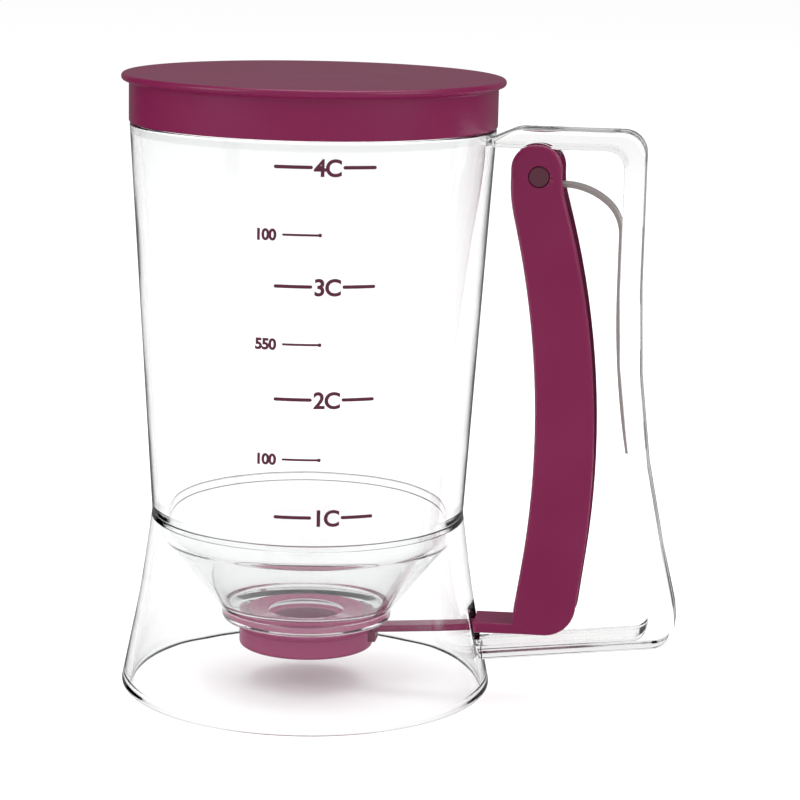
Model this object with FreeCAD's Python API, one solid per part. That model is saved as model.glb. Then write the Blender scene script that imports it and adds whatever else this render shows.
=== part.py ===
import FreeCAD, Part
import math
import os

# Pancake batter dispenser: a clear measuring jar on a flared stand, with a squeeze trigger
# that swings a seal cup away from the outlet at the foot of the funnel.
# Millimetres. Origin at the centre of the stand's foot ring, +Z up, handle towards +X.

V = FreeCAD.Vector
UP = V(0, 0, 1)

# Heights of the vessel
lid_top_z = 186.0
jar_rim_z = 183.8
jar_shoulder_z = 171.4
seam_z = 54.5

# Jar
jar_shoulder_radius = 54.3
jar_seam_radius = 47.3
jar_wall = 2.8
jar_rim_wall = 1.6
jar_neck_radius = 53.0
jar_rim_round = 0.6

# Funnel
funnel_wall = 2.2
funnel_land = 1.0
funnel_collar_height = 2.2
funnel_shoulder_set_in = 2.9
funnel_shoulder_radius = jar_seam_radius - funnel_shoulder_set_in
funnel_shoulder_z = 47.6
funnel_shoulder_round = 7.0
funnel_foot_radius = 25.9
funnel_foot_round = 1.1
funnel_foot_band = 3.4
funnel_floor_z = 26.1
funnel_floor_round = 6.0
funnel_inside_round = 4.0
outlet_radius = 11.5
outlet_lip_z = 23.9
outlet_edge_round = 0.6
outlet_face_z = 20.8

# Stand
stand_wall = 2.2
stand_foot_radius = 56.7
stand_foot_width = 3.1
stand_foot_height = 3.0
stand_foot_round = 1.4
stand_flare_z = 30.0
stand_flare_spread = 3.3
stand_flare_radius = jar_seam_radius + stand_flare_spread
stand_flare_round = 250.0
stand_gap = 0.15

# Lid
lid_flange_radius = 56.8
lid_plate = 2.2
lid_rim_round = 1.05
lid_skirt_wall = 1.25
lid_skirt_clearance = 0.3
lid_skirt_stand_off = 0.3
lid_plug_wall = 1.4
lid_plug_depth = 6.0
lid_plug_clearance = 0.3

# Handle frame
strip_width = 20.0
strip_root_x = 51.0
strip_edge_round = 1.1
top_arm_underside_z = 167.0
top_arm_thickness = 4.2
grip_inner_x = 92.6
grip_thickness = 4.8
grip_inner_knee_z = 103.5
grip_inner_lean_degrees = 9.4
grip_inner_knee_round = 269.0
grip_outer_knee_z = 91.0
grip_outer_lean_degrees = 13.1
grip_outer_knee_round = 330.0
bottom_arm_root_z = 11.45
bottom_arm_thickness = 4.2
bottom_arm_rise_degrees = 4.4
corner_inner_round = 3.6
corner_outer_round = 6.4
weld_gap = 0.08

# Pivot
pivot_x = 68.0
pivot_drop = 8.1
pivot_z = top_arm_underside_z - pivot_drop
pin_radius = 2.0
pin_running_clearance = 0.05
pin_seat_clearance = 0.02
pin_head_radius = 3.0
pin_head_height = 1.0
pin_head_dome = 0.5
pin_head_recess = 1.2
pin_head_clearance = 0.25
pin_retainer_radius = 3.2
pin_retainer_thickness = 0.8
pin_retainer_lug_count = 6
ear_radius = 5.0
ear_thickness = 2.9
ear_side_clearance = 0.5

# Trigger
trigger_width = 20.0
trigger_wall = 2.2
trigger_edge_round = 1.5
trigger_head_round = 7.0
trigger_head_rise = 9.2
trigger_head_top_z = pivot_z + trigger_head_rise
trigger_head_clearance = 0.7
trigger_front_reach = 8.3
trigger_front_x = pivot_x - trigger_front_reach
trigger_front_bend_drop = 6.8
trigger_front_bend_z = pivot_z - trigger_front_bend_drop
trigger_front_bend_round = 42.0
trigger_front_belly = (73.7, 91.9)
trigger_front_belly_round = 274.0
trigger_front_foot_x = 64.3
trigger_back_reach = 6.8
trigger_back_x = pivot_x + trigger_back_reach
trigger_back_bend_drop = 2.7
trigger_back_bend_z = pivot_z - trigger_back_bend_drop
trigger_back_bend_round = 24.0
trigger_back_belly = (91.1, 95.8)
trigger_back_belly_round = 265.0
trigger_back_foot_x = 81.9
trigger_foot_z = 20.4
trigger_foot_round = 9.5
trigger_web_rise = 2.6
trigger_web_top_z = pivot_z + trigger_web_rise
trigger_rib = 1.5
trigger_rib_depth = 6.0
trigger_rib_heights = (44.0, 64.0, 84.0, 104.0, 124.0)
trigger_squeeze = 6.5

# Valve arm, one moulding with the trigger
arm_width = 9.0
arm_stop_gap = 0.3
arm_under_z = 20.8
arm_outer_top_z = 28.2
arm_height = 4.2
arm_drop_start_x = 31.0
arm_drop_end_x = 24.5
arm_drop_offset = 3.6
arm_tongue_z = 14.3
arm_tongue_height = 3.2
arm_tongue_eye_radius = 5.2

# Window in the stand for the arm
window_width = 11.0
window_floor_z = 16.8
window_top_z = 27.2
window_corner_round = 1.5

# Valve cup and seal
cup_radius = 20.5
cup_lip_radius = 21.8
cup_floor_z = 12.0
cup_lip_z = 20.2
cup_lip_height = 1.2
cup_chamfer = 1.3
cup_floor = 1.9
cup_wall = 2.2
cup_foot_round = 1.2
cup_seal_clearance = 0.3
cup_notch_clearance = 0.3
cup_boss_radius = 3.4
seal_radius = 19.0
seal_thickness = 2.2
seal_plug_radius = 10.6
seal_plug_height = 2.0
seal_spigot_depth = 0.9
seal_spigot_clearance = 0.3
seal_edge_round = 0.5

# Screw that holds the cup on the arm
screw_radius = 1.4
screw_head_radius = 2.7
screw_head_height = 1.0
screw_thread_clearance = 0.05
screw_slot_width = 0.8
screw_slot_depth = 0.5

# Return spring, one leaf curled round the pin
spring_width = 7.4
spring_thickness = 0.5
spring_eye_clearance = 0.25
spring_eye_wrap_degrees = 285.0
spring_exit_reach = 7.0
spring_exit_x = pivot_x + spring_exit_reach
spring_first_radius = 20.0
spring_first_turn_degrees = 40.5
spring_grip_gap = 0.15
spring_tail_z = 77.5

# Bar in the trigger that the spring bears on
bar_size = (2.4, 1.8)
bar_place = (pivot_x + 5.6, pivot_z - 4.8)


def arc_reaches(points, radii):
    """How far each corner's arc reaches along its sides. Two arcs share a side that is too short for both."""
    count = len(points)
    reaches = []
    for i, radius in enumerate(radii):
        before = points[i - 1] - points[i]
        after = points[(i + 1) % count] - points[i]
        reaches.append(radius / math.tan(before.getAngle(after) / 2))
    for i in range(count):
        side = points[i].distanceToPoint(points[i - 1])
        both = reaches[i] + reaches[i - 1]
        if both > side:
            reaches[i] *= side / both
            reaches[i - 1] *= side / both
    return reaches


def rounded_wire(corners):
    """A closed wire in the XZ plane through (x, z, radius) corners, each rounded by a tangent arc."""
    points = [V(x, 0, z) for x, z, _ in corners]
    reaches = arc_reaches(points, [radius for _, _, radius in corners])
    arcs = []
    for i, reach in enumerate(reaches):
        here = points[i]
        if reach == 0:
            arcs.append((here, None, here))
            continue
        before = (points[i - 1] - here).normalize()
        after = (points[(i + 1) % len(points)] - here).normalize()
        half = before.getAngle(after) / 2
        radius = reach * math.tan(half)
        middle = (before + after).normalize()
        centre_distance = radius / math.sin(half)
        arcs.append((
            here + before * reach,
            here + middle * (centre_distance - radius),
            here + after * reach,
        ))
    edges = []
    for i, (start, middle, end) in enumerate(arcs):
        last_end = arcs[i - 1][2]
        if last_end.distanceToPoint(start) > 1e-6:
            edges.append(Part.makeLine(last_end, start))
        if middle is not None:
            edges.append(Part.Arc(start, middle, end).toShape())
    return Part.Wire(Part.__sortEdges__(edges))


def turned(corners):
    """A solid turned about Z from (radius, z, rounding) corners."""
    return Part.Face(rounded_wire(corners)).revolve(V(0, 0, 0), UP, 360)


def plate(corners, width):
    """A solid of the given width in Y, centred on the XZ plane, from (x, z, rounding) corners."""
    face = Part.Face(rounded_wire(corners))
    face.translate(V(0, -width / 2, 0))
    return face.extrude(V(0, width, 0))


def bar_across(radius, x, z, start_y, end_y):
    """A round bar along Y."""
    return Part.makeCylinder(radius, end_y - start_y, V(x, start_y, z), V(0, 1, 0))


def round_side_edges(solid, width, radius):
    """Round the outline edges on both side faces of a plate."""
    edges = []
    for edge in solid.Edges:
        sides = {round(v.Y, 3) for v in edge.Vertexes}
        if len(sides) == 1 and abs(abs(sides.pop()) - width / 2) < 1e-6:
            edges.append(edge)
    return solid.makeFillet(radius, edges)


def jar_outer_radius(z):
    """Radius of the tapered outside of the jar at a height."""
    share = (z - seam_z) / (jar_shoulder_z - seam_z)
    return jar_seam_radius + share * (jar_shoulder_radius - jar_seam_radius)


jar_mouth_radius = jar_neck_radius - jar_rim_wall
funnel_top_radius = jar_seam_radius - jar_wall + funnel_land
cone_angle = math.atan2(
    funnel_shoulder_radius - funnel_foot_radius,
    funnel_shoulder_z - outlet_face_z - funnel_foot_band,
)
seal_seat_z = outlet_face_z - seal_thickness


def make_jar():
    """Tapered jar with a set-in neck for the lid, open at both ends."""
    inner_seam = jar_seam_radius - jar_wall
    return turned([
        (jar_seam_radius, seam_z, 0),
        (jar_shoulder_radius, jar_shoulder_z, jar_rim_round),
        (jar_neck_radius, jar_shoulder_z, 0),
        (jar_neck_radius, jar_rim_z, jar_rim_round),
        (jar_mouth_radius, jar_rim_z, jar_rim_round),
        (jar_mouth_radius, jar_shoulder_z - jar_wall, 6.0),
        (inner_seam, seam_z, 0),
    ])


def make_funnel():
    """Funnel with a thick floor round the outlet and a banded foot."""
    inner_top = jar_seam_radius - jar_wall
    collar_z = seam_z - funnel_collar_height
    slope = math.tan(cone_angle)
    wall_across = funnel_wall / math.cos(cone_angle)
    band_z = outlet_face_z + funnel_foot_band
    inner_shoulder = funnel_shoulder_radius - wall_across
    floor_corner = inner_shoulder - (funnel_shoulder_z - funnel_floor_z) * slope
    return turned([
        (inner_top, seam_z, 0),
        (inner_top, funnel_shoulder_z + (inner_top - inner_shoulder) / slope, funnel_inside_round),
        (floor_corner, funnel_floor_z, funnel_floor_round),
        (outlet_radius, outlet_lip_z, outlet_edge_round),
        (outlet_radius, outlet_face_z, 0),
        (funnel_foot_radius - funnel_foot_round, outlet_face_z, 0),
        (funnel_foot_radius, outlet_face_z + funnel_foot_round, funnel_foot_round * 0.6),
        (funnel_foot_radius, band_z, 1.0),
        (funnel_shoulder_radius, funnel_shoulder_z, funnel_shoulder_round),
        (funnel_shoulder_radius + 0.3, collar_z, 0.2),
        (funnel_top_radius, collar_z, 0.2),
        (funnel_top_radius, seam_z, 0),
    ])


def stand_outline():
    """Corners of the flared stand's wall: outside down, inside up to the rebate for the funnel."""
    rebate_radius = funnel_top_radius + stand_gap
    ledge_z = seam_z - funnel_collar_height
    foot_inner = stand_foot_radius - stand_foot_width
    return [
        (rebate_radius, seam_z, 0),
        (jar_seam_radius, seam_z, 0),
        (stand_flare_radius, stand_flare_z, stand_flare_round),
        (stand_foot_radius, 0, stand_foot_round),
        (foot_inner, 0, 0.5),
        (foot_inner, stand_foot_height, 4.0),
        (stand_flare_radius - stand_wall, stand_flare_z, stand_flare_round),
        (jar_seam_radius - stand_wall, ledge_z, 0),
        (rebate_radius, ledge_z, 0),
    ]


def make_stand():
    """Flared stand with a window for the valve arm."""
    stand = turned(stand_outline())
    window = Part.makeBox(
        stand_foot_radius + stand_wall, window_width, window_top_z - window_floor_z,
        V(0, -window_width / 2, window_floor_z),
    )
    along_x = [e for e in window.Edges if abs(e.tangentAt(e.FirstParameter).x) > 0.99]
    return stand.cut(window.makeFillet(window_corner_round, along_x))


def make_lid():
    """Push-on lid: plate with a rounded rim, a skirt outside the neck and a plug ring inside."""
    plate_under_z = lid_top_z - lid_plate
    skirt_inner = jar_neck_radius + lid_skirt_clearance
    skirt_outer = skirt_inner + lid_skirt_wall
    plug_outer = jar_mouth_radius - lid_plug_clearance
    plug_inner = plug_outer - lid_plug_wall
    skirt_foot_z = jar_shoulder_z + lid_skirt_stand_off
    return turned([
        (0, plate_under_z, 0),
        (plug_inner, plate_under_z, 1.0),
        (plug_inner, plate_under_z - lid_plug_depth, 0.5),
        (plug_outer, plate_under_z - lid_plug_depth, 0.5),
        (plug_outer, plate_under_z, 0),
        (skirt_inner, plate_under_z, 0),
        (skirt_inner, skirt_foot_z, 0.5),
        (skirt_outer, skirt_foot_z, 0.5),
        (skirt_outer, plate_under_z, 0.9),
        (lid_flange_radius, plate_under_z, lid_rim_round),
        (lid_flange_radius, lid_top_z, lid_rim_round),
        (0, lid_top_z, 0),
    ])


def head_centre():
    """Centre of the trigger's round head."""
    x = (trigger_front_x + trigger_back_x) / 2
    return x, trigger_head_top_z - trigger_head_round


def grip_corner(knee_x, knee_z, lean, arm_z_at_root):
    """Where a leaning face of the grip meets a rising face of the bottom arm."""
    lean_slope = math.tan(math.radians(lean))
    rise_slope = math.tan(math.radians(bottom_arm_rise_degrees))
    rise_at_knee = arm_z_at_root + (knee_x - strip_root_x) * rise_slope
    drop = (knee_z - rise_at_knee) / (1 + lean_slope * rise_slope)
    return knee_x + drop * lean_slope, knee_z - drop


def make_handle():
    """Handle strip: two arms and a leaning grip, with two ears for the pivot pin."""
    root_x = strip_root_x
    top_z = top_arm_underside_z + top_arm_thickness
    outer_x = grip_inner_x + grip_thickness
    arm_top_z = bottom_arm_root_z + bottom_arm_thickness
    outer_foot = grip_corner(outer_x, grip_outer_knee_z, grip_outer_lean_degrees, bottom_arm_root_z)
    inner_foot = grip_corner(grip_inner_x, grip_inner_knee_z, grip_inner_lean_degrees, arm_top_z)
    strip = plate([
        (root_x, top_z, 0),
        (outer_x, top_z, corner_outer_round),
        (outer_x, grip_outer_knee_z, grip_outer_knee_round),
        (*outer_foot, corner_outer_round + 1.0),
        (root_x, bottom_arm_root_z, 0),
        (root_x, arm_top_z, 0),
        (*inner_foot, corner_inner_round),
        (grip_inner_x, grip_inner_knee_z, grip_inner_knee_round),
        (grip_inner_x, top_arm_underside_z, corner_inner_round),
        (root_x, top_arm_underside_z, 0),
    ], strip_width)
    strip = round_side_edges(strip, strip_width, strip_edge_round)
    strip = strip.cut(make_head_relief())
    strip = strip.fuse(make_ears()).removeSplitter()
    return strip.cut(make_vessel_envelope(weld_gap))


def ear_outer_y():
    """Distance from the middle plane to the outside of an ear."""
    return trigger_width / 2 - trigger_wall - ear_side_clearance


def make_head_relief():
    """Hollow under the top arm that the trigger's round head turns in, beside the ears."""
    x, z = head_centre()
    radius = trigger_head_round + trigger_head_clearance
    inner_y = ear_outer_y() + 0.2
    side = strip_width / 2 + 1.0
    near = bar_across(radius, x, z, -side, -inner_y)
    far = bar_across(radius, x, z, inner_y, side)
    return near.fuse(far)


def make_ears():
    """Two ears under the top arm that carry the pivot pin."""
    top_z = top_arm_underside_z + 0.5
    outer_y = ear_outer_y()
    blank = plate([
        (pivot_x - ear_radius - 1.0, top_z, 0),
        (pivot_x + ear_radius + 1.0, top_z, 0),
        (pivot_x + ear_radius, pivot_z - ear_radius, ear_radius - 0.01),
        (pivot_x - ear_radius, pivot_z - ear_radius, ear_radius - 0.01),
    ], 2 * outer_y)
    slot = plate([
        (pivot_x - 9.0, pivot_z + ear_radius, 1.0),
        (pivot_x + 9.0, pivot_z + ear_radius, 1.0),
        (pivot_x + 9.0, pivot_z - 9.0, 0),
        (pivot_x - 9.0, pivot_z - 9.0, 0),
    ], 2 * (outer_y - ear_thickness))
    bore_radius = pin_radius + pin_running_clearance
    bore = bar_across(bore_radius, pivot_x, pivot_z, -outer_y - 1, outer_y + 1)
    return blank.cut(slot).cut(bore)


def make_vessel_envelope(gap):
    """The space inside the outside faces of jar and stand, larger by the gap."""
    top_z = jar_shoulder_z + 1.0
    return turned([
        (0, 0, 0),
        (stand_foot_radius + gap, 0, 0),
        (stand_flare_radius + gap, stand_flare_z, stand_flare_round),
        (jar_seam_radius + gap, seam_z, 0),
        (jar_outer_radius(top_z) + gap, top_z, 0),
        (0, top_z, 0),
    ])


def trigger_corners():
    """Side view of the trigger without its arm: round head, bowed front and back, rounded foot."""
    return [
        (trigger_front_x, trigger_head_top_z, trigger_head_round),
        (trigger_back_x, trigger_head_top_z, trigger_head_round),
        (trigger_back_x, trigger_back_bend_z, trigger_back_bend_round),
        (*trigger_back_belly, trigger_back_belly_round),
        (trigger_back_foot_x, trigger_foot_z, trigger_foot_round),
        (trigger_front_foot_x - 2.0, trigger_foot_z, 0),
        (trigger_front_foot_x, arm_outer_top_z, 0),
        (*trigger_front_belly, trigger_front_belly_round),
        (trigger_front_x, trigger_front_bend_z, trigger_front_bend_round),
    ]


def make_trigger_channel():
    """Hollow of the trigger, open towards the grip and over the head, closed by the web and foot."""
    wall = trigger_wall
    far_x = grip_inner_x + 20.0
    front_belly_x, front_belly_z = trigger_front_belly
    return plate([
        (trigger_front_x + wall, trigger_web_top_z, 0),
        (trigger_front_x + wall, trigger_front_bend_z, trigger_front_bend_round),
        (front_belly_x + wall, front_belly_z, trigger_front_belly_round),
        (trigger_front_foot_x + wall + 0.5, trigger_foot_z + wall, 4.0),
        (far_x, trigger_foot_z + wall, 0),
        (far_x, trigger_head_top_z + 9.0, 0),
        (trigger_front_x - 9.0, trigger_head_top_z + 9.0, 0),
        (trigger_front_x - 9.0, trigger_web_top_z, 0),
    ], trigger_width - 2 * wall)


def make_trigger_ribs(outside):
    """Cross ribs between web and cheeks, as deep as the fingers' load needs."""
    ribs = []
    inner_width = trigger_width - 2 * trigger_wall
    for z in trigger_rib_heights:
        slice_box = Part.makeBox(
            grip_inner_x, inner_width, trigger_rib,
            V(trigger_front_x, -inner_width / 2, z - trigger_rib / 2),
        )
        shallow = outside.copy()
        shallow.translate(V(-trigger_wall - trigger_rib_depth, 0, 0))
        ribs.append(slice_box.common(outside).common(shallow))
    return ribs


def make_arm():
    """Valve arm: deep outside the stand, slim through the window, cranked down to a tongue with an eye."""
    tongue_top_z = arm_tongue_z + arm_tongue_height
    arm_top_z = arm_under_z + arm_height
    eye_reach = arm_tongue_eye_radius - 1.0
    root_x = trigger_front_foot_x + trigger_wall
    slim = plate([
        (root_x, trigger_foot_z, 0),
        (root_x, arm_top_z, 0),
        (arm_drop_start_x, arm_top_z, 4.0),
        (arm_drop_end_x, tongue_top_z, 4.0),
        (eye_reach, tongue_top_z, 0),
        (eye_reach, arm_tongue_z, 0),
        (arm_drop_end_x + arm_drop_offset, arm_tongue_z, 5.0),
        (arm_drop_start_x + arm_drop_offset, arm_under_z, 5.0),
        (stand_flare_radius, arm_under_z, 0),
    ], arm_width)
    stop = plate([
        (root_x, arm_under_z, 0),
        (root_x, arm_outer_top_z + 0.4, 0),
        (stand_flare_radius - stand_wall, arm_outer_top_z, 0),
        (stand_flare_radius - stand_wall, arm_under_z, 0),
    ], arm_width)
    stop = stop.cut(make_vessel_envelope(arm_stop_gap))
    eye = Part.makeCylinder(arm_tongue_eye_radius, arm_tongue_height, V(0, 0, arm_tongue_z))
    pilot = Part.makeCylinder(screw_radius + screw_thread_clearance, arm_under_z)
    return slim.fuse([stop, eye]).cut(pilot)


def make_trigger():
    """Trigger channel with cheeks, web, ribs and spring bar, in one with the valve arm."""
    outside = plate(trigger_corners(), trigger_width)
    outside = round_side_edges(outside, trigger_width, trigger_edge_round)
    shell = outside.cut(make_trigger_channel())
    pieces = make_trigger_ribs(outside)
    bar_x, bar_z = bar_place
    bar_length, bar_height = bar_size
    bar_span = trigger_width - 2 * trigger_wall + 1.0
    pieces.append(Part.makeBox(
        bar_length, bar_span, bar_height,
        V(bar_x - bar_length / 2, -bar_span / 2, bar_z - bar_height / 2),
    ))
    pieces.append(make_arm())
    shell = shell.fuse(pieces).removeSplitter()
    half = trigger_width / 2
    pin_hole = bar_across(pin_radius + pin_seat_clearance, pivot_x, pivot_z, -half - 1, half + 1)
    head_seat = bar_across(
        pin_head_radius + pin_head_clearance, pivot_x, pivot_z, -half - 1, -half + pin_head_recess,
    )
    return shell.cut(pin_hole).cut(head_seat)


def make_pivot_pin():
    """Domed-head pin through both cheeks and both ears."""
    half = trigger_width / 2
    seat_y = -half + pin_head_recess
    tip_y = half + pin_retainer_thickness + 0.7
    shank = bar_across(pin_radius, pivot_x, pivot_z, seat_y - 0.2, tip_y)
    tip_edges = [e for e in shank.Edges if abs(e.CenterOfMass.y - tip_y) < 1e-6]
    shank = shank.makeChamfer(0.4, tip_edges)
    head = bar_across(pin_head_radius, pivot_x, pivot_z, seat_y - pin_head_height, seat_y)
    rim = [e for e in head.Edges if abs(e.CenterOfMass.y - (seat_y - pin_head_height)) < 1e-6]
    head = head.makeFillet(pin_head_dome, rim)
    return head.fuse(shank).removeSplitter()


def make_pin_retainer():
    """Push-on star washer that grips the pin's tip against the far cheek."""
    half = trigger_width / 2
    disc = bar_across(pin_retainer_radius, pivot_x, pivot_z, half, half + pin_retainer_thickness)
    hole_radius = pin_radius + pin_seat_clearance
    disc = disc.cut(bar_across(hole_radius, pivot_x, pivot_z, half - 1, half + 2))
    for i in range(pin_retainer_lug_count):
        slit = Part.makeBox(0.5, 4.0, pin_retainer_radius * 0.72, V(-0.25, half - 1, 0))
        slit.rotate(V(0, 0, 0), V(0, 1, 0), i * 360.0 / pin_retainer_lug_count)
        slit.translate(V(pivot_x, 0, pivot_z))
        disc = disc.cut(slit)
    return disc


def point_at(centre, radius, degrees):
    """Point in the XZ plane on a circle, with degrees from +X towards +Z."""
    angle = math.radians(degrees)
    return V(centre.x + radius * math.cos(angle), 0, centre.z + radius * math.sin(angle))


def arc_edge(centre, radius, start, turn):
    """Arc in the XZ plane from a start angle through a signed turn, in degrees."""
    return Part.Arc(
        point_at(centre, radius, start),
        point_at(centre, radius, start + turn / 2),
        point_at(centre, radius, start + turn),
    ).toShape()


def spring_side(offset):
    """One side of the leaf: offset is the distance outwards from its middle line."""
    eye_radius = pin_radius + spring_eye_clearance + spring_thickness / 2
    eye = V(pivot_x, 0, pivot_z)
    wrap = spring_eye_wrap_degrees
    first_centre = V(spring_exit_x, 0, pivot_z - eye_radius - spring_first_radius)
    turn = spring_first_turn_degrees
    line_x = grip_inner_x - spring_grip_gap - spring_thickness / 2
    after_first = point_at(first_centre, spring_first_radius, 90 - turn)
    second_radius = (line_x - after_first.x) / (1 - math.cos(math.radians(90 - turn)))
    second_centre = V(line_x - second_radius, 0, 0)
    second_centre.z = after_first.z - second_radius * math.sin(math.radians(90 - turn))
    lean = grip_inner_lean_degrees
    reach = grip_inner_knee_round * math.tan(math.radians(lean / 2))
    knee_top_z = grip_inner_knee_z + reach
    knee_radius = grip_inner_knee_round + spring_grip_gap + spring_thickness / 2
    knee_centre = V(grip_inner_x + grip_inner_knee_round, 0, knee_top_z)
    knee_end = point_at(knee_centre, knee_radius + offset * -1, 180 + lean)
    tail_run = (knee_end.z - spring_tail_z) / math.cos(math.radians(lean))
    tail = knee_end + V(math.sin(math.radians(lean)), 0, -math.cos(math.radians(lean))) * tail_run
    eye_start = -90 - wrap
    parts = [
        arc_edge(eye, eye_radius - offset, eye_start, wrap),
        Part.makeLine(point_at(eye, eye_radius - offset, -90), point_at(first_centre, spring_first_radius + offset, 90)),
        arc_edge(first_centre, spring_first_radius + offset, 90, -turn),
        arc_edge(second_centre, second_radius + offset, 90 - turn, turn - 90),
        Part.makeLine(point_at(second_centre, second_radius + offset, 0), point_at(knee_centre, knee_radius - offset, 180)),
        arc_edge(knee_centre, knee_radius - offset, 180, lean),
        Part.makeLine(knee_end, tail),
    ]
    return parts, point_at(eye, eye_radius - offset, eye_start), tail


def make_spring():
    """Leaf spring: an open eye round the pin, a bow behind the trigger and a tail along the grip."""
    outer, outer_start, outer_end = spring_side(spring_thickness / 2)
    inner, inner_start, inner_end = spring_side(-spring_thickness / 2)
    closing = [Part.makeLine(outer_start, inner_start), Part.makeLine(outer_end, inner_end)]
    wire = Part.Wire(Part.__sortEdges__(outer + inner + closing))
    face = Part.Face(wire)
    face.translate(V(0, -spring_width / 2, 0))
    return face.extrude(V(0, spring_width, 0))


def make_valve_cup():
    """Round cup that carries the seal: chamfered lip, notch for the tongue and a screw boss."""
    inner = cup_radius - cup_wall
    seal_pocket = seal_radius + cup_seal_clearance
    lip_under_z = cup_lip_z - cup_lip_height
    cup = turned([
        (0, cup_floor_z, 0),
        (cup_radius, cup_floor_z, cup_foot_round),
        (cup_radius, lip_under_z - cup_chamfer, 0),
        (cup_lip_radius, lip_under_z, 0),
        (cup_lip_radius, cup_lip_z, 0.4),
        (seal_pocket, cup_lip_z, 0.2),
        (seal_pocket, seal_seat_z, 0),
        (inner, seal_seat_z, 0),
        (inner, cup_floor_z + cup_floor, 0.8),
        (0, cup_floor_z + cup_floor, 0),
    ])
    boss_height = arm_tongue_z - cup_floor_z - cup_floor + 0.2
    boss = Part.makeCylinder(cup_boss_radius, boss_height, V(0, 0, cup_floor_z + cup_floor - 0.2))
    notch_width = arm_width + 2 * cup_notch_clearance
    notch = Part.makeBox(
        cup_radius, notch_width, arm_tongue_height + cup_notch_clearance,
        V(inner - 1.0, -notch_width / 2, arm_tongue_z),
    )
    screw_way = Part.makeCylinder(screw_radius + screw_thread_clearance, 20.0, V(0, 0, 0))
    head_seat = Part.makeCylinder(
        screw_head_radius + cup_notch_clearance, 20.0, V(0, 0, cup_floor_z + screw_head_height - 20.0),
    )
    return cup.fuse(boss).cut(notch).cut(screw_way).cut(head_seat)


def make_seal():
    """Soft seal: flat disc that shuts the outlet, a low domed plug above and a spigot in the cup."""
    inner = cup_radius - cup_wall
    dome_radius = (seal_plug_radius ** 2 + seal_plug_height ** 2) / (2 * seal_plug_height)
    disc = turned([
        (0, seal_seat_z - seal_spigot_depth, 0),
        (inner - seal_spigot_clearance, seal_seat_z - seal_spigot_depth, seal_edge_round),
        (inner - seal_spigot_clearance, seal_seat_z, 0),
        (seal_radius, seal_seat_z, seal_edge_round),
        (seal_radius, outlet_face_z, seal_edge_round),
        (0, outlet_face_z, 0),
    ])
    ball = Part.makeSphere(dome_radius, V(0, 0, outlet_face_z + seal_plug_height - dome_radius))
    cap = ball.common(Part.makeCylinder(seal_plug_radius + 1.0, 10.0, V(0, 0, outlet_face_z - 0.3)))
    return disc.fuse(cap).removeSplitter()


def make_cup_screw():
    """Slotted screw up through the cup's floor into the eye of the tongue."""
    head_top_z = cup_floor_z + screw_head_height
    tip_z = arm_tongue_z + arm_tongue_height - 0.4
    head = Part.makeCylinder(screw_head_radius, screw_head_height - 0.1, V(0, 0, cup_floor_z + 0.1))
    shank = Part.makeCylinder(screw_radius, tip_z - head_top_z + 0.2, V(0, 0, head_top_z - 0.2))
    slot = Part.makeBox(
        4 * screw_head_radius, screw_slot_width, screw_slot_depth + 0.1,
        V(-2 * screw_head_radius, -screw_slot_width / 2, cup_floor_z),
    )
    return head.fuse(shank).removeSplitter().cut(slot)


def main():
    nodes = {
        "lid": make_lid(),
        "measuring_jar": make_jar(),
        "funnel": make_funnel(),
        "flared_stand": make_stand(),
        "handle_frame": make_handle(),
        "trigger": make_trigger(),
        "pivot_pin": make_pivot_pin(),
        "pin_retainer": make_pin_retainer(),
        "return_spring": make_spring(),
        "valve_cup": make_valve_cup(),
        "valve_seal": make_seal(),
        "cup_screw": make_cup_screw(),
    }
    os.makedirs("parts", exist_ok=True)
    for name, shape in nodes.items():
        solid = shape.Solids[0] if len(shape.Solids) == 1 else shape
        print(name, "valid", solid.isValid(), "solids", len(shape.Solids), "volume", round(shape.Volume, 1))
        solid.exportStep(f"parts/{name}.step")


main()
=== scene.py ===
"""Looks of a pancake batter dispenser: a clear jar on a flared stand, with berry lid, trigger and valve.

Outlines are written in millimetres. Every mesh is in metres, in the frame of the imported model:
Z up, the handle towards +X, the origin at the centre of the stand's foot ring.
"""

import logging
import math
from dataclasses import dataclass
from enum import Enum

import bmesh
import bpy
from mathutils import Matrix, Vector


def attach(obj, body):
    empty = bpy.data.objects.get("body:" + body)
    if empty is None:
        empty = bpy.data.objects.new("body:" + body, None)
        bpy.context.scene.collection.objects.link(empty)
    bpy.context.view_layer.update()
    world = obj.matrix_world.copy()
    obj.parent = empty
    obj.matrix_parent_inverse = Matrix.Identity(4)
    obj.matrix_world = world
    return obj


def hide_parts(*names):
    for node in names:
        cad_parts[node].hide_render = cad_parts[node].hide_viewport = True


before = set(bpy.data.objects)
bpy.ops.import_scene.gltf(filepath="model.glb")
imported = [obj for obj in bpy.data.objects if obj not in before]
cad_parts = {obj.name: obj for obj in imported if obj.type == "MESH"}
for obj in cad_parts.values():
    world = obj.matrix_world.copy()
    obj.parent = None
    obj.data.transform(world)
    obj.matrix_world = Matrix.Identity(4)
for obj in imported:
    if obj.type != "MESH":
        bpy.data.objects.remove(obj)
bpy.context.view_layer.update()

log = logging.getLogger("dispenser")

MM = 0.001
MERGE = 1e-6
LATHE_STEPS = 224
ARC_STEP_DEGREES = 6.0
SHARP_DEGREES = 32.0
RIM_ANGLE_RADIANS = 0.5
SIDE_ROUND_STEPS = 4
BAR_STEPS = 64


class Body(Enum):
    """The moving bodies that pieces ride on."""

    VESSEL = "vessel"
    LEVER = "squeeze_lever"
    LID = "lid_body"


class Slot(Enum):
    """The record's material slots."""

    CLEAR = "clear_plastic"
    BERRY = "berry_plastic"
    SILICONE = "berry_silicone"
    PIN = "pin_steel"
    SPRING = "spring_steel"


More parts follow.
